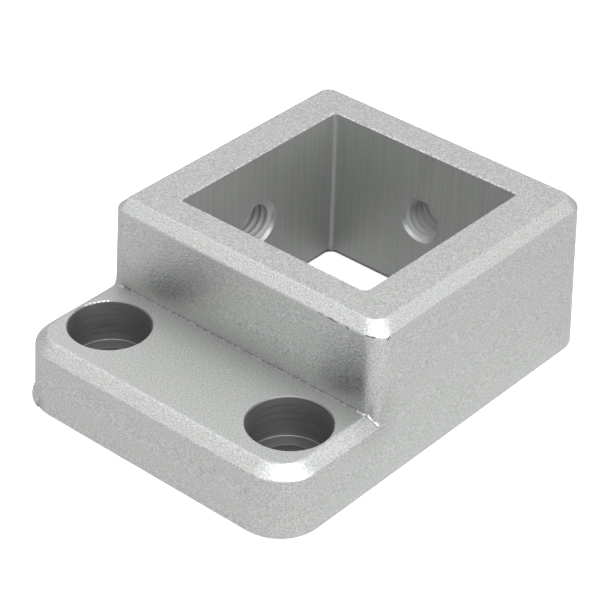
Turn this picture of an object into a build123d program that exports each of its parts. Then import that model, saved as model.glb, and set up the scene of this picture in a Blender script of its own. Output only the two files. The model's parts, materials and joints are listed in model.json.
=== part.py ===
"""Cast socket bracket for a 30 mm square slotted profile.

One casting: a square collar that the profile slides through, and a lower flange with two
counterbored screw holes that fastens it down. Two tapped holes, one in the rear wall and one
in the left wall, take grub screws that lock the profile in the collar.

Frame: the origin is the socket's axis at the base. +Z points up through the socket, +Y points
from the flange to the rear wall, and +X runs along the flange. Sizes are in millimetres, and
the outline's sizes are those of the base, where the casting is widest.
"""

import os
from math import radians, tan

from build123d import *

# Socket: the profile's side, the room around it, and the machined edges
profile_side = 30.0
profile_clearance = 0.3
socket_corner_radius = 1.0
socket_rim_break = 0.1
socket_foot_round = 0.8

# Casting: walls round the socket, the flange beyond them, and the heights
side_wall = 7.6
rear_wall = 6.95
front_wall = 6.45
flange_reach = 16.4
collar_height = 22.4
flange_thickness = 10.0
draft_angle = 2.25

# Casting: the softened corners and edges
flange_corner_radius = 6.0
rear_corner_radius = 3.7
collar_corner_radius = 2.7
collar_chamfer = 1.4
flange_chamfer = 1.5
foot_fillet = 0.25
base_edge_round = 0.3

# Flange screws: M6 cap screws with sunk heads, as far apart as the profile is wide
screw_pitch = profile_side
screw_edge_distance = 9.5
screw_hole_diameter = 7.0
head_bore_diameter = 10.7
head_bore_depth = 6.0
head_bore_rim_break = 0.15

# Grub screws: M6 tapped holes at the thread's core diameter, with a countersunk mouth each side
thread_core_diameter = 5.0
thread_mouth_diameter = 6.6
thread_mouth_angle = 90.0
thread_height = 11.75

# Places that follow from these sizes
socket_side = profile_side + profile_clearance
half_socket = socket_side / 2
half_width = half_socket + side_wall
rear_y = half_socket + rear_wall
collar_front_y = -half_socket - front_wall
flange_front_y = collar_front_y - flange_reach
screw_row_y = flange_front_y + screw_edge_distance
draft_slope = tan(radians(draft_angle))
foot_y = collar_front_y + flange_thickness * draft_slope
drawn_in = thread_height * draft_slope

# The two tapped walls, each as a plane outside and a plane inside that face away from the metal
grub_screw_walls = [
    (
        Plane((drawn_in - half_width, 0, thread_height), z_dir=(-1, 0, 0)),
        Plane((-half_socket, 0, thread_height), z_dir=(1, 0, 0)),
    ),
    (
        Plane((0, rear_y - drawn_in, thread_height), z_dir=(0, 1, 0)),
        Plane((0, half_socket, thread_height), z_dir=(0, -1, 0)),
    ),
]


def block_outline(front_y, back_y):
    """Draw a block's rectangle at the base, as wide as the casting."""
    with Locations((0, (front_y + back_y) / 2)):
        Rectangle(2 * half_width, back_y - front_y)


with BuildPart() as bracket:
    # Flange: drawn in towards the top by the mould's draft, and run on under the collar
    with BuildSketch() as flange_outline:
        block_outline(flange_front_y, 0)
        fillet(vertices().group_by(Axis.Y)[0], flange_corner_radius)
    extrude(amount=flange_thickness, taper=draft_angle)
    chamfer(faces().sort_by(Axis.Z)[-1].edges(), flange_chamfer)

    # Collar: its side walls are one with the flange's, and its front corners stand on the flange
    with BuildSketch() as collar_outline:
        block_outline(collar_front_y, rear_y)
        fillet(vertices().group_by(Axis.Y)[0], collar_corner_radius)
        fillet(vertices().group_by(Axis.Y)[-1], rear_corner_radius)
    extrude(amount=collar_height, taper=draft_angle)
    chamfer(faces().sort_by(Axis.Z)[-1].edges(), collar_chamfer)

    # Foot: the hollow radius where the collar's front wall and corners meet the flange's top
    flange_top = faces().filter_by(Axis.Z).sort_by(Axis.Z)[1]
    foot_edges = flange_top.edges().filter_by(lambda edge: edge.center().Y > foot_y - foot_fillet)
    fillet(foot_edges, foot_fillet)
    fillet(faces().sort_by(Axis.Z)[0].edges(), base_edge_round)

    # Socket: straight machined walls, a broken top rim, and a round at the foot for easy entry
    with BuildSketch() as socket_outline:
        Rectangle(socket_side, socket_side)
        fillet(vertices(), socket_corner_radius)
    extrude(amount=collar_height, mode=Mode.SUBTRACT)
    chamfer(faces().sort_by(Axis.Z)[-1].inner_wires()[0].edges(), socket_rim_break)
    fillet(faces().sort_by(Axis.Z)[0].inner_wires()[0].edges(), socket_foot_round)

    # Flange screws: two counterbored holes in a row, with their rims broken
    with Locations((0, screw_row_y, flange_thickness)):
        with GridLocations(screw_pitch, 0, 2, 1):
            CounterBoreHole(screw_hole_diameter / 2, head_bore_diameter / 2, head_bore_depth)
    flange_top = faces().filter_by(Axis.Z).group_by(Axis.Z)[-2]
    chamfer(flange_top[0].inner_wires().edges(), head_bore_rim_break)

    # Grub screws: tapped from outside and countersunk from both sides, in the left and rear walls
    for wall_outside, wall_inside in grub_screw_walls:
        wall = (wall_inside.origin - wall_outside.origin).length
        with Locations(wall_outside, wall_inside):
            CounterSinkHole(
                thread_core_diameter / 2, thread_mouth_diameter / 2, wall, thread_mouth_angle
            )

bracket.part.label = "bracket_casting"
os.makedirs("parts", exist_ok=True)
export_step(bracket.part, "parts/bracket_casting.step")
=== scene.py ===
# %% [markdown]
# This lesson dresses a small cast bracket. A square slotted profile slides into its socket, and
# two sunk screws hold its flange down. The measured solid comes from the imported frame, in metres,
# with +Z up through the socket and the origin where the socket's axis meets the base.

# %% Load the measured solid
import bpy
import json
from math import cos, degrees, hypot, pi, radians, sin
from mathutils import Matrix, Vector

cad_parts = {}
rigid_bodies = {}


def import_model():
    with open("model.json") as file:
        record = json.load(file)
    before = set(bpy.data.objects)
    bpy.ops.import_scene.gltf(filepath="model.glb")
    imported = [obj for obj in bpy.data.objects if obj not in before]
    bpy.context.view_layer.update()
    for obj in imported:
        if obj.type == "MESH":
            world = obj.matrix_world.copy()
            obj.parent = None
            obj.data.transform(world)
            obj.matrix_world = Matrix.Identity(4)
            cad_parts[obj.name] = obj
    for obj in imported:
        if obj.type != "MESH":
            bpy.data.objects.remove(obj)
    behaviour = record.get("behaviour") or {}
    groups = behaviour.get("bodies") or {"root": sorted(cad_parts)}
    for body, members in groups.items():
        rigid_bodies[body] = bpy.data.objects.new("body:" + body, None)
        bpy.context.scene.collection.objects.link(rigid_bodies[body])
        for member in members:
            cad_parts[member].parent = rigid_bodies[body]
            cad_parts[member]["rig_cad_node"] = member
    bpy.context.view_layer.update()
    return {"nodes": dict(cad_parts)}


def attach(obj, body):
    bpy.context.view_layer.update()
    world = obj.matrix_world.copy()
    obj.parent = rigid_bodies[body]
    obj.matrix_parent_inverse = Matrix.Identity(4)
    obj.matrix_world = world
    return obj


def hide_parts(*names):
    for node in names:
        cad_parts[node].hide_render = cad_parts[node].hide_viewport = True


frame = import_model()
MM = 0.001
TOUCHING = 0.0001 * MM
WELD = 0.001 * MM
SEAM = 0.002 * MM


# %% [markdown]
# The bracket leaves its mould as one casting, so one piece stands for it here. The solid already
# has the right walls, draft and holes, but its edges are as sharp as a knife and its mesh is loose
# triangles. A copy is joined at its seams, and its flat faces are made whole again. After that,
# edges can be picked and worked like those of a block that was modelled by hand.

# %% Copy the casting and join its seams
def only(piece):
    """Make this piece the one that is selected and worked on."""
    bpy.ops.object.select_all(action="DESELECT")
    piece.select_set(True)
    bpy.context.view_layer.objects.active = piece


only(frame["nodes"]["bracket_casting"])
bpy.ops.object.duplicate()
casting = bpy.context.object
casting.name = "casting"
casting.parent = None
del casting["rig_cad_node"]
bpy.ops.mesh.customdata_custom_splitnormals_clear()
bpy.ops.object.mode_set(mode="EDIT")
bpy.ops.mesh.select_all(action="SELECT")
bpy.ops.mesh.remove_doubles(threshold=SEAM)
bpy.ops.mesh.dissolve_limited(angle_limit=radians(1))
bpy.ops.object.mode_set(mode="OBJECT")
print("casting:", len(casting.data.polygons), "faces")

# %% [markdown]
# Faces and points are picked by where they lie, as a person would pick them by eye. Long faces are
# cut into cells first, wherever a shape has to change within them.

# %% Ways to cut faces into cells and to pick points
def lay_grid(piece, low, high, step, axes=(0, 1, 2)):
    """Cut the faces that reach into a box into cells, with all sizes in millimetres."""
    for axis in axes:
        normal = [float(axis == other) for other in range(3)]
        for cell in range(round((high[axis] - low[axis]) / step) + 1):
            bpy.ops.object.mode_set(mode="EDIT")
            bpy.ops.mesh.select_mode(type="FACE")
            bpy.ops.mesh.select_all(action="DESELECT")
            bpy.ops.object.mode_set(mode="OBJECT")
            for face in piece.data.polygons:
                corners = [piece.data.vertices[v].co / MM for v in face.vertices]
                face.select = all(
                    min(reach) < above and max(reach) > below
                    for below, reach, above in zip(low, zip(*corners), high)
                )
            bpy.ops.object.mode_set(mode="EDIT")
            level = low[axis] + cell * step
            bpy.ops.mesh.bisect(
                plane_co=Vector(normal) * level * MM, plane_no=normal, threshold=TOUCHING
            )
            bpy.ops.object.mode_set(mode="OBJECT")


def pick_points(piece, wanted):
    """Select the points that the test wants, given their place in millimetres, in edit mode."""
    bpy.ops.object.mode_set(mode="EDIT")
    bpy.ops.mesh.select_mode(type="VERT")
    bpy.ops.mesh.select_all(action="DESELECT")
    bpy.ops.object.mode_set(mode="OBJECT")
    for point in piece.data.vertices:
        point.select = wanted(point.co / MM)
    bpy.ops.object.mode_set(mode="EDIT")


# %% [markdown]
# The collar's right front corner is rounder towards its top than the solid has it, which makes the
# bright patch on it as wide above as below. The solid's round keeps one axis, so it tightens as the
# walls draw in, and again on the slanted rim. Scaling its points about the sharp corner, where the
# two walls would meet, widens it again, and its ends slide along the walls.

# %% Widen the collar's right corner
# At each level: the sharp corner, the round's radius on the solid, and the radius that is wanted
FOOT_LEVEL = (Vector((22.357, -21.207, 10)), 2.307, 2.307)
RIM_LEVEL = (Vector((21.925, -20.775, 21.001)), 1.875, 2.7)
TOP_LEVEL = (Vector((20.47, -19.32, 22.4)), 0.42, 2.3)


def on_round(place):
    """Is this point on the right front corner's round, which has the same axis all the way up?"""
    return place.x > 20.03 and -22 < place.y < -18.88 and place.z > 10.5


def growth_at(height):
    """Give the sharp corner at a height on the collar, and how much its round grows there."""
    below, above = (FOOT_LEVEL, RIM_LEVEL) if height < RIM_LEVEL[0].z else (RIM_LEVEL, TOP_LEVEL)
    share = (height - below[0].z) / (above[0].z - below[0].z)
    corner, radius, wanted = (start + (end - start) * share for start, end in zip(below, above))
    return corner, wanted / radius


lay_grid(casting, (20.2, -23, 11), (23, -19, 20), 1, axes=(2,))
places = [point.co / MM for point in casting.data.vertices]
heights = sorted({round(place.z, 2) for place in places if on_round(place)})
print("heights of the round's points:", heights)
for height in heights:
    corner, growth = growth_at(height)
    pick_points(casting, lambda place: on_round(place) and abs(place.z - height) < 0.006)
    bpy.ops.transform.resize(value=(growth, growth, 1), center_override=corner * MM)
    bpy.ops.object.mode_set(mode="OBJECT")

# %% [markdown]
# The broach that squared the socket left three of its corners sharper than the fourth. The same
# scaling makes a round tighter, and it leaves the points below, on the socket's foot, where they
# are.

# %% Sharpen the socket's corners
HALF_SOCKET = 15.15
SOCKET_FOOT = 0.75
ROUND_FROM, ROUND_TO = 14.1, 15.3

for x_side, y_side, growth in ((-1, -1, 0.35), (-1, 1, 0.6), (1, 1, 0.35)):
    pick_points(
        casting,
        lambda place: place.z > SOCKET_FOOT
        and ROUND_FROM < x_side * place.x < ROUND_TO
        and ROUND_FROM < y_side * place.y < ROUND_TO,
    )
    sharp = Vector((x_side, y_side, 0)) * HALF_SOCKET * MM
    bpy.ops.transform.resize(value=(growth, growth, 1), center_override=sharp)
    print("points moved:", casting.data.total_vert_sel)
    bpy.ops.object.mode_set(mode="OBJECT")

# %% [markdown]
# The socket was machined through the cast top, and the cutter left a ragged, shiny rim. The rim's
# long upper edges get many points. These are moved outwards and shaken, then laid flat again.

# %% Fray the socket's rim
COLLAR_TOP = 22.4
RIM_CUTS = 110
RIM_GROWTH = (1.013, 1.021, 1)
RAGGEDNESS = 0.07


def on_rim(place):
    """Is this point on the socket's rim, in the collar's flat top?"""
    return place.z > COLLAR_TOP - 0.05 and max(abs(place.x), abs(place.y)) < ROUND_TO


only(casting)
bpy.ops.object.mode_set(mode="EDIT")
bpy.ops.mesh.select_mode(type="EDGE")
bpy.ops.mesh.select_all(action="DESELECT")
bpy.ops.object.mode_set(mode="OBJECT")
for edge in casting.data.edges:
    start, end = (casting.data.vertices[v].co / MM for v in edge.vertices)
    edge.select = on_rim(start) and on_rim(end) and (start - end).length > 20
bpy.ops.object.mode_set(mode="EDIT")
bpy.ops.mesh.subdivide(number_cuts=RIM_CUTS)
bpy.ops.object.mode_set(mode="OBJECT")
pick_points(casting, on_rim)
rim_middle = (0, 0, COLLAR_TOP * MM)
bpy.ops.transform.resize(value=RIM_GROWTH, center_override=rim_middle)
bpy.ops.transform.vertex_random(offset=RAGGEDNESS * MM, seed=3)
bpy.ops.transform.resize(value=(1, 1, 0), center_override=rim_middle)
bpy.ops.object.mode_set(mode="OBJECT")
print("casting:", len(casting.data.vertices), "points")

# %% [markdown]
# The collar's corners are tighter at their foot than higher up: they flare out where they stand on
# the flange's slanted edge. The photograph shows it as a flare on the left outline and as a bright
# wedge on the right. A slim round post that leans into each corner is added to the casting. Two
# thinner rods lie along the right corner's foot, as the bead that the mould left there.

# %% Stand a round post in each collar corner
def combine(piece, other, operation):
    """Cut the other shape out of the piece or add it, and throw the other away."""
    only(piece)
    step = piece.modifiers.new("step", "BOOLEAN")
    step.operation = operation
    step.solver = "EXACT"
    step.material_mode = "TRANSFER"
    step.object = other
    bpy.ops.object.modifier_apply(modifier="step")
    bpy.data.objects.remove(other)
    bpy.ops.object.mode_set(mode="EDIT")
    bpy.ops.mesh.select_all(action="SELECT")
    bpy.ops.mesh.remove_doubles(threshold=WELD)
    bpy.ops.object.mode_set(mode="OBJECT")


def rod(start, end, radius):
    """Make a round rod between two places, with all sizes in millimetres."""
    along = Vector(end) - Vector(start)
    bpy.ops.object.select_all(action="DESELECT")
    bpy.ops.mesh.primitive_cylinder_add(
        radius=radius * MM,
        depth=along.length * MM,
        vertices=48,
        location=(Vector(start) + Vector(end)) * MM / 2,
        rotation=along.to_track_quat("Z", "Y").to_euler(),
    )
    bpy.ops.object.transform_apply()
    return bpy.context.object


# Each rod's two ends and its radius: the left post, the right post, and the two rods of the bead
FOOT_RODS = (
    ((-21.42, -20.17, 7.5), (-20.48, -19.41, 12.9), 1),
    ((21.46, -20.31, 7.5), (20.9, -19.55, 12.9), 1),
    ((20.3, -21.25, 9.98), (20.82, -21.04, 9.93), 0.26),
    ((20.8, -21.06, 9.95), (22.3, -20.42, 8.62), 0.34),
)

for start, end, radius in FOOT_RODS:
    combine(casting, rod(start, end, radius), "UNION")
    print("casting:", len(casting.data.polygons), "faces")

# %% [markdown]
# An edge is picked by where it lies, in millimetres, and by how far its two faces turn. A positive
# turn is an outer edge, like the rim of a table, and a negative one is an inner edge, like the
# foot of a wall. On an inner edge, each face rises out of the other's plane.

# %% A way to pick edges
def pick_edges(piece, wanted):
    """Select the edges that the test wants, given their middle and their turn in degrees."""
    bpy.ops.object.mode_set(mode="EDIT")
    bpy.ops.mesh.select_mode(type="EDGE")
    bpy.ops.mesh.select_all(action="DESELECT")
    bpy.ops.object.mode_set(mode="OBJECT")
    mesh = piece.data
    beside = {}
    for face in mesh.polygons:
        corners = [mesh.vertices[v].co for v in face.vertices]
        for key, start, end in zip(face.edge_keys, corners, corners[1:] + corners[:1]):
            into_face = face.normal.cross(end - start)
            beside.setdefault(key, []).append((face.normal, into_face))
    picked = 0
    for edge in mesh.edges:
        (here, into_here), (there, _) = beside[edge.key]
        turn = degrees(here.angle(there, 0))
        if into_here.dot(there) > 0:
            turn = -turn
        start, end = (mesh.vertices[v].co for v in edge.vertices)
        edge.select = wanted((start + end) / (2 * MM), turn)
        picked += edge.select
    return picked


def bevel_picked(width, steps):
    """Round the picked edges to a width in millimetres, in so many steps."""
    bpy.ops.object.mode_set(mode="EDIT")
    bpy.ops.mesh.bevel(
        offset=width * MM, offset_type="OFFSET", segments=steps, clamp_overlap=False
    )
    bpy.ops.mesh.remove_doubles(threshold=SEAM)
    bpy.ops.object.mode_set(mode="OBJECT")


# %% [markdown]
# No outer edge of a blasted casting is sharp. The blast wears each one to a tiny round, and that
# round catches the thin lines of light in the photograph. The machined edges inside the socket
# stay crisp.

# %% Round the blasted edges
FLANGE_TOP = 10
BORE_X, BORE_Y = 15, -28.5
HEAD_BORE_RADIUS = 5.35


def from_bore(place):
    """Give a place's distance from the axis of the nearer counterbore."""
    return hypot(abs(place.x) - BORE_X, place.y - BORE_Y)


def is_blasted(middle, turn):
    """Is this an outer edge of the collar's or the flange's slanted rim?"""
    in_socket = max(abs(middle.x), abs(middle.y)) < 17.2
    at_bore = from_bore(middle) < HEAD_BORE_RADIUS + 0.45
    at_rim = middle.z > 20.5 or (middle.y < -18 and 8 < middle.z < 9)
    return turn > 20 and at_rim and not in_socket and not at_bore


def is_upper_rim(middle, turn):
    """Is this an edge round the flange's flat top?"""
    on_top = abs(middle.z - FLANGE_TOP) < 0.02
    return turn > 20 and on_top and (abs(middle.x) > 20.5 or middle.y < -35)


print("outer edges to round:", pick_edges(casting, is_blasted))
bevel_picked(0.2, 3)
print("edges of the flange's top:", pick_edges(casting, is_upper_rim))
bevel_picked(0.3, 4)

# %% [markdown]
# A counterbore's cutter has a small nose radius, so it leaves a hollow line of light where the
# wall meets the floor. The screw hole's rim on that floor is broken a little.

# %% Finish the counterbores
BORE_FLOOR = 4
SCREW_HOLE_RADIUS = 3.5


def bore_edge(radius, inner):
    """Make a test for the edges on a counterbore's floor at a radius from its axis."""
    def is_wanted(middle, turn):
        right_turn = turn < -60 if inner else turn > 60
        on_floor = abs(middle.z - BORE_FLOOR) < 0.05
        return right_turn and on_floor and abs(from_bore(middle) - radius) < 0.1
    return is_wanted


print("counterbore edges:", pick_edges(casting, bore_edge(HEAD_BORE_RADIUS, True)))
bevel_picked(0.2, 3)
print("screw hole rims:", pick_edges(casting, bore_edge(SCREW_HOLE_RADIUS, False)))
bevel_picked(0.15, 2)
print("casting:", len(casting.data.polygons), "faces")

# %% [markdown]
# The casting was knocked about in its bin, and it has dark nicks along the collar's right front
# edge. Each one is the bed of a ragged splinter: a small ball is shaken, drawn out along the nick
# and cut out of the casting. The cut faces keep the splinter's dark metal, which is painted shade
# in the nick.

# %% Nick the collar's edge
def cut_nick(start, end, width):
    """Cut a ragged splinter's bed between two places, with all sizes in millimetres."""
    along = Vector(end) - Vector(start)
    bpy.ops.object.select_all(action="DESELECT")
    bpy.ops.mesh.primitive_ico_sphere_add(
        subdivisions=2,
        radius=MM,
        location=(Vector(start) + Vector(end)) * MM / 2,
        rotation=along.to_track_quat("Z", "Y").to_euler(),
    )
    splinter = bpy.context.object
    bpy.ops.object.mode_set(mode="EDIT")
    bpy.ops.transform.vertex_random(offset=0.25 * MM, seed=round(along.length * 100))
    bpy.ops.object.mode_set(mode="OBJECT")
    splinter.scale = (width / 2, width / 2, along.length / 2)
    bpy.ops.object.transform_apply()
    splinter.data.materials.append(bpy.data.materials["nicked_metal"])
    combine(casting, splinter, "DIFFERENCE")


# Each nick's two ends and its width, from the front edge's middle round the right corner
NICKS = (
    ((12.2, -20.79, 20.93), (13.4, -20.79, 20.88), 0.14),
    ((13.7, -20.79, 20.96), (15.6, -20.79, 20.8), 0.2),
    ((16.6, -20.79, 20.98), (17.4, -20.79, 20.76), 0.22),
    ((19.6, -20.75, 21.02), (20.4, -20.51, 20.98), 0.2),
    ((20.3, -20.56, 21), (21, -20.12, 20.96), 0.24),
    ((21.72, -19.1, 20.3), (21.87, -18.64, 20.95), 0.2),
)

casting.data.materials.clear()
for name in ("blasted_skin", "nicked_metal"):
    casting.data.materials.append(bpy.data.materials.new(name))
for start, end, width in NICKS:
    cut_nick(start, end, width)
    print("casting:", len(casting.data.polygons), "faces")

# %% [markdown]
# Two tapped holes take the grub screws that lock the profile. The solid has them plain, at the
# thread's core. A tap is modelled here as the real tool is: one tooth's outline is wound round an
# axis, a pitch higher at each turn. Bisecting gives it flat ends, and a boolean lets it cut.

# %% Model the tap
PITCH = 1.0
TAP_TURNS = 10
TAP_ENDS = (1.2, 9.8)
TOOTH_ROOT_RADIUS = 2.42
# The tooth's outline, from its lower root, as steps outwards and along the tap
TOOTH = ((0.47, 0.38), (0, 0.16), (-0.47, 0.38), (0, 0.08))


def wound_tap():
    """Wind one tooth's outline into a screw-shaped cutter that stands on the origin."""
    bpy.ops.mesh.primitive_plane_add(size=PITCH * MM)
    tap = bpy.context.object
    tap.name = "tap"
    only(tap)
    bpy.ops.object.mode_set(mode="EDIT")
    bpy.ops.mesh.select_mode(type="VERT")
    bpy.ops.mesh.select_all(action="SELECT")
    bpy.ops.mesh.merge(type="CENTER")
    bpy.ops.transform.translate(value=(TOOTH_ROOT_RADIUS * MM, 0, 0))
    for out, along in TOOTH:
        bpy.ops.mesh.extrude_vertices_move(
            TRANSFORM_OT_translate={"value": (out * MM, 0, along * MM)}
        )
    bpy.ops.object.mode_set(mode="OBJECT")
    winding = tap.modifiers.new("winding", "SCREW")
    winding.angle = 2 * pi
    winding.screw_offset = PITCH * MM
    winding.iterations = TAP_TURNS
    winding.steps = winding.render_steps = 48
    bpy.ops.object.modifier_apply(modifier="winding")
    bpy.ops.object.mode_set(mode="EDIT")
    bpy.ops.mesh.select_all(action="SELECT")
    bpy.ops.mesh.remove_doubles(threshold=WELD)
    for level, below in zip(TAP_ENDS, (True, False)):
        bpy.ops.mesh.select_all(action="SELECT")
        bpy.ops.mesh.bisect(
            plane_co=(0, 0, level * MM),
            plane_no=(0, 0, 1),
            use_fill=True,
            clear_inner=below,
            clear_outer=not below,
            threshold=TOUCHING,
        )
    bpy.ops.mesh.select_all(action="SELECT")
    bpy.ops.mesh.normals_make_consistent(inside=False)
    bpy.ops.object.mode_set(mode="OBJECT")
    return tap


tap = wound_tap()
print("tap:", len(tap.data.polygons), "faces")

# %% [markdown]
# One tap cuts both holes. It is laid along each hole's axis, 11.75 mm above the base, so that it
# starts just inside the socket and leaves through the outer wall.

# %% Cut the two threads
THREAD_HEIGHT = 11.75
TAP_START = 13.8

for start, tip_over in (
    (Vector((0, TAP_START, THREAD_HEIGHT)), Matrix.Rotation(radians(-90), 4, "X")),
    (Vector((-TAP_START, 0, THREAD_HEIGHT)), Matrix.Rotation(radians(-90), 4, "Y")),
):
    only(tap)
    bpy.ops.object.duplicate()
    cutter = bpy.context.object
    cutter.matrix_world = Matrix.Translation(start * MM) @ tip_over
    bpy.ops.object.transform_apply()
    combine(casting, cutter, "DIFFERENCE")
    print("casting:", len(casting.data.polygons), "faces")
bpy.data.objects.remove(tap)

# %% [markdown]
# The hollows beside the collar's corner posts are softened by sculpting. Bisecting lays a fine
# grid over each corner, and smoothing the grid's points fills the hollow, as a thumb does in clay.
# The left corner is the softer one in the photograph.

# %% Soften the collar's corners
def grab_near(piece, middle, reach):
    """Select the points within reach of a place, in edit mode."""
    bpy.ops.object.mode_set(mode="EDIT")
    bpy.ops.mesh.select_mode(type="VERT")
    bpy.ops.mesh.select_all(action="DESELECT")
    bpy.ops.object.mode_set(mode="OBJECT")
    for point in piece.data.vertices:
        point.select = (point.co / MM - middle).length < reach
    bpy.ops.object.mode_set(mode="EDIT")


LEFT, RIGHT = -1, 1
GRID_CELL = 0.2
SOFT_REACH = 2.6

for side, smoothings in ((LEFT, 24), (RIGHT, 2)):
    west, east = sorted((side * 19.2, side * 23.2))
    lay_grid(casting, (west, -22.2, 7.2), (east, -17.4, 13.2), GRID_CELL)
    grab_near(casting, Vector((side * 21.7, -20.5, 9.6)), SOFT_REACH)
    bpy.ops.mesh.vertices_smooth(factor=0.5, repeat=smoothings)
    bpy.ops.object.mode_set(mode="OBJECT")
    print("casting:", len(casting.data.polygons), "faces")

# %% [markdown]
# Castings pick up small marks. The mould's two halves leave a lip of flash at the foot of the
# flange's left corner. A ring is modelled round that corner, and two cuts leave the short arc that
# the photograph shows. It becomes part of the casting.

# %% Leave the lip of flash
FLASH_AXIS = Vector((-16.75, -32, 0.68)) * MM
FLASH_RADIUS = 5.72
FLASH_THICKNESS = 1.24
FLASH_HEADINGS = (203, 249)

bpy.ops.object.select_all(action="DESELECT")
bpy.ops.mesh.primitive_torus_add(
    location=FLASH_AXIS,
    major_radius=FLASH_RADIUS * MM,
    minor_radius=FLASH_THICKNESS / 2 * MM,
    major_segments=180,
    minor_segments=14,
)
flash = bpy.context.object
flash.name = "flash"
bpy.ops.object.transform_apply()
bpy.ops.object.mode_set(mode="EDIT")
for heading, side in zip(FLASH_HEADINGS, (1, -1)):
    across = Vector((-sin(radians(heading)), cos(radians(heading)), 0))
    bpy.ops.mesh.select_all(action="SELECT")
    bpy.ops.mesh.bisect(
        plane_co=FLASH_AXIS,
        plane_no=across * side,
        use_fill=True,
        clear_inner=True,
        threshold=TOUCHING,
    )
bpy.ops.mesh.select_all(action="SELECT")
bpy.ops.transform.vertex_random(offset=0.03 * MM, seed=5)
bpy.ops.mesh.normals_make_consistent(inside=False)
bpy.ops.object.mode_set(mode="OBJECT")
casting.select_set(True)
bpy.context.view_layer.objects.active = casting
bpy.ops.object.join()
print("casting with its flash:", len(casting.data.polygons), "faces")

# %% [markdown]
# Curved faces are shaded smooth and real edges stay sharp. The large flat faces have the most say
# in how the shading turns from face to face, so they stay flat right up to their rims.

# %% Shade the casting
SHARP_FROM = radians(24)

only(casting)
bpy.ops.object.shade_smooth_by_angle(angle=SHARP_FROM)
evening = casting.modifiers.new("evening", "WEIGHTED_NORMAL")
evening.keep_sharp = True
evening.weight = 80
bpy.ops.object.modifier_apply(modifier="evening")

# %% [markdown]
# The skin is blasted metal: dull, pale grey and grainy. A metal shader with a medium roughness
# spreads its reflections so far that only large shapes show in it, such as the dark holes of the
# flange in the collar's front wall. Fine noise drives its bumps and its colour, at the size of the
# grain in the photograph, about a fifth of a millimetre.

# %% Material helpers
def new_material(name, roughness):
    """Start a metal and give back the material, its node tree and its shader."""
    material = bpy.data.materials.get(name) or bpy.data.materials.new(name)
    material.use_nodes = True
    tree = material.node_tree
    shader = tree.nodes["Principled BSDF"]
    shader.inputs["Metallic"].default_value = 1
    shader.inputs["Roughness"].default_value = roughness
    return material, tree, shader


def object_place(tree, scale=(1, 1, 1)):
    """Give the place on the piece, stretched by a scale along each axis."""
    place = tree.nodes.new("ShaderNodeTexCoord")
    mapping = tree.nodes.new("ShaderNodeMapping")
    mapping.inputs["Scale"].default_value = scale
    tree.links.new(place.outputs["Object"], mapping.inputs["Vector"])
    return mapping.outputs["Vector"]


def noise(tree, place, grains_per_metre, detail):
    """Give a noise value with so many grains to the metre."""
    node = tree.nodes.new("ShaderNodeTexNoise")
    node.inputs["Scale"].default_value = grains_per_metre
    node.inputs["Detail"].default_value = detail
    tree.links.new(place, node.inputs["Vector"])
    return node.outputs["Fac"]


def tint(tree, value, low, high, dark, light):
    """Turn a value between low and high into a colour between dark and light."""
    node = tree.nodes.new("ShaderNodeValToRGB")
    for stop, position, colour in zip(node.color_ramp.elements, (low, high), (dark, light)):
        stop.position = position
        stop.color = (*colour, 1)
    tree.links.new(value, node.inputs["Fac"])
    return node.outputs["Color"]


def relief(tree, value, height):
    """Turn a value into bumps of a height in millimetres."""
    node = tree.nodes.new("ShaderNodeBump")
    node.inputs["Strength"].default_value = 1
    node.inputs["Distance"].default_value = height * MM
    tree.links.new(value, node.inputs["Height"])
    return node.outputs["Normal"]


def spread(tree, value, low, high, at_low, at_high):
    """Turn a value between low and high into one between two others."""
    node = tree.nodes.new("ShaderNodeMapRange")
    tree.links.new(value, node.inputs["Value"])
    for name, number in (
        ("From Min", low), ("From Max", high), ("To Min", at_low), ("To Max", at_high)
    ):
        node.inputs[name].default_value = number
    return node.outputs["Result"]


def scaled(tree, colour, share):
    """Make a colour darker or lighter by a share."""
    node = tree.nodes.new("ShaderNodeVectorMath")
    node.operation = "SCALE"
    tree.links.new(colour, node.inputs[0])
    tree.links.new(share, node.inputs["Scale"])
    return node.outputs["Vector"]


# %% [markdown]
# The blast hits the upper faces hardest. They are duller than the upright walls, and the front is
# grainier than the sides. So the face's own direction steers how dull and how grainy it is.

# %% The blasted skin
def by_direction(tree, axis, low, high, at_low, at_high):
    """Give one value where the face's direction is low along an axis, and another where high."""
    geometry = tree.nodes.new("ShaderNodeNewGeometry")
    split = tree.nodes.new("ShaderNodeSeparateXYZ")
    tree.links.new(geometry.outputs["True Normal"], split.inputs[0])
    return spread(tree, split.outputs[axis], low, high, at_low, at_high)


COLLAR_FOOT_Y = -21.2

skin, tree, shader = new_material("blasted_skin", 0.33)
place = object_place(tree)
grain = noise(tree, place, grains_per_metre=5200, detail=2.5)
colour = tint(tree, grain, 0.32, 0.72, dark=(0.41, 0.42, 0.41), light=(0.72, 0.73, 0.72))
# Painted shade: the skin's colour darkens within 5 mm of the foot of the collar's front wall.
from_foot = tree.nodes.new("ShaderNodeMapping")
from_foot.inputs["Location"].default_value = (0, -COLLAR_FOOT_Y * MM, -FLANGE_TOP * MM)
from_foot.inputs["Scale"].default_value = (0, 1, 1)
tree.links.new(place, from_foot.inputs["Vector"])
away = tree.nodes.new("ShaderNodeVectorMath")
away.operation = "LENGTH"
tree.links.new(from_foot.outputs["Vector"], away.inputs[0])
painted_foot_shade = spread(tree, away.outputs["Value"], 0, 5 * MM, at_low=0.8, at_high=1)
tree.links.new(scaled(tree, colour, painted_foot_shade), shader.inputs["Base Color"])
bumps = tree.nodes.new("ShaderNodeBump")
bumps.inputs["Distance"].default_value = 0.035 * MM
tree.links.new(grain, bumps.inputs["Height"])
front_side = by_direction(tree, "Y", -0.8, 0, at_low=2.2, at_high=1)
right_side = by_direction(tree, "X", 0, 0.8, at_low=1, at_high=0.6)
both = tree.nodes.new("ShaderNodeMath")
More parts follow.
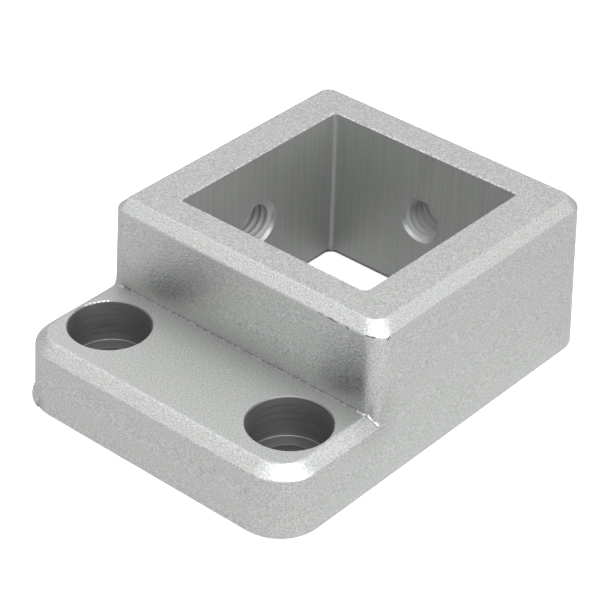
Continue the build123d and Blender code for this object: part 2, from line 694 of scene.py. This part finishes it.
both.operation = "MULTIPLY"
tree.links.new(front_side, both.inputs[0])
tree.links.new(right_side, both.inputs[1])
tree.links.new(both.outputs[0], bumps.inputs["Strength"])
tree.links.new(bumps.outputs["Normal"], shader.inputs["Normal"])
dullness = by_direction(tree, "Z", 0.2, 0.9, at_low=0.33, at_high=0.47)
tree.links.new(dullness, shader.inputs["Roughness"])
print("skin:", len(tree.nodes), "nodes")

# %% [markdown]
# A nick is bare, torn metal that lies in its own shade. For a mark a fifth of a millimetre wide, a
# plain metal that is rougher than the skin, with a darker colour as painted shade, is enough.

# %% The nicks
nicked, tree, shader = new_material("nicked_metal", 0.6)
shader.inputs["Base Color"].default_value = (0.2, 0.205, 0.2, 1)
print("finish:", nicked.name)

# %% [markdown]
# A broach was drawn straight through the socket, and it left faint upright streaks. Noise that is
# stretched along Z gives them, as colour and as bumps a few thousandths of a millimetre high. A
# share by height darkens the walls low down and lightens them towards their top: painted shade and
# light.

# %% The machined socket walls
socket_wall, tree, shader = new_material("machined_socket", 0.52)
drawn_out = object_place(tree, scale=(1, 1, 0.03))
streaks = noise(tree, drawn_out, grains_per_metre=2500, detail=3)
colour = tint(tree, streaks, 0.3, 0.7, dark=(0.46, 0.47, 0.46), light=(0.53, 0.54, 0.53))
height = tree.nodes.new("ShaderNodeSeparateXYZ")
tree.links.new(object_place(tree), height.inputs[0])
# Painted shade low in the walls and painted light towards their top.
share = spread(tree, height.outputs["Z"], 4 * MM, 20 * MM, at_low=0.88, at_high=1.08)
tree.links.new(scaled(tree, colour, share), shader.inputs["Base Color"])
tree.links.new(relief(tree, streaks, 0.004), shader.inputs["Normal"])
casting.data.materials.append(socket_wall)
print("finish:", socket_wall.name)

# %% [markdown]
# A counterbore's cutter turns, so its marks run round the bore in rings. The same noise is
# stretched the other way, across the bore, and changes only along Z. A share by direction makes
# the bore's up-facing floor darker than its wall, as painted shade at the bottom of the recess.

# %% The turned counterbores
bore_wall, tree, shader = new_material("turned_bore", 0.55)
spread_out = object_place(tree, scale=(0.05, 0.05, 1))
rings = noise(tree, spread_out, grains_per_metre=3500, detail=3)
colour = tint(tree, rings, 0.3, 0.7, dark=(0.26, 0.265, 0.26), light=(0.36, 0.37, 0.36))
# Painted shade: the up-facing floor of the bore is darker than its wall.
share = by_direction(tree, "Z", 0.1, 0.9, at_low=1, at_high=0.68)
tree.links.new(scaled(tree, colour, share), shader.inputs["Base Color"])
tree.links.new(relief(tree, rings, 0.007), shader.inputs["Normal"])
casting.data.materials.append(bore_wall)
print("finish:", bore_wall.name)

# %% [markdown]
# A tap tears the metal a little and leaves the thread's flanks dull. Only half of this finish is
# metal and the rest scatters light, so the turns stay visible deep in the hole.

# %% The cut threads
thread_wall, tree, shader = new_material("cut_thread", 0.7)
shader.inputs["Metallic"].default_value = 0.5
shader.inputs["Base Color"].default_value = (0.5, 0.51, 0.5, 1)
casting.data.materials.append(thread_wall)
print("finish:", thread_wall.name)

# %% [markdown]
# The hollow at the foot of the collar's front wall and the round at the socket's foot get a dark,
# dull metal with specks: its darkness is painted shade in these creases.

# %% The two feet
# Painted shade: a dark metal laid into the two creases.
shaded_foot, tree, shader = new_material("painted_shade_foot", 0.7)
specks = noise(tree, object_place(tree), grains_per_metre=2500, detail=3)
colour = tint(tree, specks, 0.35, 0.6, dark=(0.17, 0.172, 0.17), light=(0.32, 0.325, 0.32))
tree.links.new(colour, shader.inputs["Base Color"])
casting.data.materials.append(shaded_foot)
print("finish:", shaded_foot.name)

# %% [markdown]
# The cutter tore the cast skin along the socket's rim. The torn metal shines in some places and is
# dark in others, so its specks differ more than those of any other finish.

# %% The frayed rim of the socket
rim, tree, shader = new_material("frayed_rim", 0.5)
specks = noise(tree, object_place(tree), grains_per_metre=3500, detail=3)
colour = tint(tree, specks, 0.35, 0.6, dark=(0.36, 0.37, 0.36), light=(0.74, 0.75, 0.74))
tree.links.new(colour, shader.inputs["Base Color"])
casting.data.materials.append(rim)
print("finish:", rim.name)

# %% [markdown]
# One mesh carries all the finishes, as one casting carries them. Each face gets its own from where
# it lies and where it faces. The nicks keep the torn metal that their cutters left on them.

# %% Give each face its finish
SKIN, NICK, SOCKET, BORE, THREAD, SHADED_FOOT, RIM = (
    casting.data.materials.find(material.name)
    for material in (skin, nicked, socket_wall, bore_wall, thread_wall, shaded_foot, rim)
)
WALL_INSIDE = HALF_SOCKET + 0.01
THREAD_MOUTH_RADIUS = 3.32
THREAD_CREST_RADIUS = 2.9
MOUTH_END = 16


def in_tapped_hole(depth, away, inwards):
    """Is this face in a tapped hole, and not part of the flat wall round its mouth?"""
    return depth > WALL_INSIDE and away < THREAD_MOUTH_RADIUS and inwards > -0.99


def hole_finish(depth, away):
    """Give the thread's finish, or the socket's on the countersunk mouth."""
    return THREAD if depth > MOUTH_END or away < THREAD_CREST_RADIUS else SOCKET


def finish_for(middle, normal):
    """Choose a face's finish from where it lies, in millimetres, and where it faces."""
    x, y, z = middle
    out = max(abs(x), abs(y))
    rear_away, left_away = hypot(x, z - THREAD_HEIGHT), hypot(y, z - THREAD_HEIGHT)
    if in_tapped_hole(-x, left_away, normal.x):
        return hole_finish(-x, left_away)
    if in_tapped_hole(y, rear_away, -normal.y):
        return hole_finish(y, rear_away)
    if y > -21.65 and 10.01 < z < 10.3 and abs(x) < 19.5 and 0.05 < normal.z < 0.99:
        return SHADED_FOOT
    if from_bore(middle) < HEAD_BORE_RADIUS + 0.1 and 0.01 < z < FLANGE_TOP - 0.01:
        return BORE
    if out < 16 and 0.01 < z < SOCKET_FOOT and normal.z > -0.97:
        return SHADED_FOOT
    if out < 15.8 and z > COLLAR_TOP - 0.1 and 0.2 < normal.z < 0.99:
        return RIM
    if out < 15.4 and z < COLLAR_TOP - 0.05 and abs(normal.z) < 0.9:
        return SOCKET
    return SKIN


for face in casting.data.polygons:
    if face.material_index != NICK:
        face.material_index = finish_for(face.center / MM, face.normal)
only(casting)
bpy.ops.object.material_slot_remove_unused()
print("finishes:", casting.data.materials.keys())

# %% [markdown]
# The dressed casting takes the solid's place, and it rides on the part's only body.

# %% Join the casting to the frame
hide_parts("bracket_casting")
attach(casting, "root")

# %% [markdown]
# The bracket stands on white with soft light from all round. The floor looks white to the camera
# and keeps a faint shadow.

# %% Floor
FLOOR_GREY = (0.83, 0.83, 0.83, 1)
FLOOR_GLOW = 0.75

bpy.ops.object.select_all(action="DESELECT")
bpy.ops.mesh.primitive_plane_add(size=3)
floor = bpy.context.object
floor.name = "floor"
white = bpy.data.materials.new("white_floor")
white.use_nodes = True
tree = white.node_tree
shader = tree.nodes["Principled BSDF"]
shader.inputs["Base Color"].default_value = FLOOR_GREY
shader.inputs["Roughness"].default_value = 0.9
rays = tree.nodes.new("ShaderNodeLightPath")
glow = tree.nodes.new("ShaderNodeMath")
glow.operation = "MULTIPLY"
glow.inputs[1].default_value = FLOOR_GLOW
tree.links.new(rays.outputs["Is Camera Ray"], glow.inputs[0])
shader.inputs["Emission Color"].default_value = (1, 1, 1, 1)
tree.links.new(glow.outputs[0], shader.inputs["Emission Strength"])
floor.data.materials.append(white)
print("floor:", [round(side, 2) for side in floor.dimensions])

# %% [markdown]
# Reflections see a sky that grows lighter towards its top and its right side, as in a light tent.
# The camera sees it plain white.

# %% World
def background(tree, strength):
    """Give a white background of a strength."""
    node = tree.nodes.new("ShaderNodeBackground")
    node.inputs["Color"].default_value = (1, 1, 1, 1)
    node.inputs["Strength"].default_value = strength
    return node


def blend(tree, share, first, second):
    """Show the second background where the share is one, and the first elsewhere."""
    node = tree.nodes.new("ShaderNodeMixShader")
    tree.links.new(share, node.inputs["Fac"])
    tree.links.new(first.outputs[0], node.inputs[1])
    tree.links.new(second.outputs[0], node.inputs[2])
    return node


SKY_LEAN = (0.2, -0.2, 0.96)
SKY_LOW, SKY_HIGH = 0.7, 1.14
SKY_ON_FLOOR = 0.5

world = bpy.data.worlds.new("studio")
bpy.context.scene.world = world
world.use_nodes = True
tree = world.node_tree
tree.nodes.clear()
rays = tree.nodes.new("ShaderNodeLightPath")
towards = tree.nodes.new("ShaderNodeTexCoord")
lean = tree.nodes.new("ShaderNodeVectorMath")
lean.operation = "DOT_PRODUCT"
lean.inputs[1].default_value = SKY_LEAN
tree.links.new(towards.outputs["Generated"], lean.inputs[0])
tent = background(tree, 1)
glow = spread(tree, lean.outputs["Value"], 0.1, 0.5, SKY_LOW, SKY_HIGH)
tree.links.new(glow, tent.inputs["Strength"])
lit = blend(tree, rays.outputs["Is Glossy Ray"], background(tree, SKY_ON_FLOOR), tent)
seen = blend(tree, rays.outputs["Is Camera Ray"], lit, background(tree, 1))
out = tree.nodes.new("ShaderNodeOutputWorld")
tree.links.new(seen.outputs[0], out.inputs["Surface"])
print("world:", len(tree.nodes), "nodes")

# %% [markdown]
# Three softboxes light the bracket. A large one in front and to the right gives the corners their
# bright patches. The two others are weak and lift the walls on either side.

# %% Softboxes
def softbox(name, towards, distance, size, watts):
    """Hang a square softbox in a direction from the bracket, and aim it there."""
    heading = Vector(towards).normalized()
    bpy.ops.object.light_add(type="AREA", location=heading * distance)
    lamp = bpy.context.object
    lamp.name = name
    lamp.rotation_euler = heading.to_track_quat("Z", "Y").to_euler()
    lamp.data.size = size
    lamp.data.energy = watts


LAMP_DISTANCE = 0.9

softbox("key", (0.455, -0.348, 0.819), LAMP_DISTANCE, size=0.85, watts=4.5)
softbox("left", (-0.5, 0.05, 0.85), LAMP_DISTANCE, size=0.6, watts=0.3)
softbox("right", (0.95, -0.1, 0.3), LAMP_DISTANCE, size=0.6, watts=3.6)

# %% [markdown]
# The camera was fitted to the photograph's edges: it stands to the right of the flange and looks
# down, rolled by under two degrees, from about 30 centimetres.

# %% Camera
AROUND, ABOVE, ROLL = radians(39.7238), radians(34.6214), radians(1.8145)
AIM = Vector((0, -8.085, 8.525)) * MM
DISTANCE = 310.09 * MM
PHOTO = 612
FOCUS = 2416.61
CENTRE = (305.518, 313.166)

back = Vector((sin(AROUND) * cos(ABOVE), -cos(AROUND) * cos(ABOVE), sin(ABOVE)))
right = Vector((cos(AROUND), sin(AROUND), 0))
up = back.cross(right)
rolled_right = right * cos(ROLL) + up * sin(ROLL)
rolled_up = -right * sin(ROLL) + up * cos(ROLL)
turn = Matrix((rolled_right, rolled_up, back)).transposed()
bpy.ops.object.camera_add()
camera = bpy.context.object
camera.matrix_world = Matrix.Translation(AIM + back * DISTANCE) @ turn.to_4x4()
camera.data.sensor_width = 36
camera.data.lens = 36 * FOCUS / PHOTO
camera.data.shift_x = (PHOTO / 2 - CENTRE[0]) / PHOTO
camera.data.shift_y = (CENTRE[1] - PHOTO / 2) / PHOTO
camera.data.clip_start = 0.01
bpy.context.scene.camera = camera
bpy.context.scene.view_settings.view_transform = "Standard"
print("camera:", camera.location / MM, "millimetres from the origin")
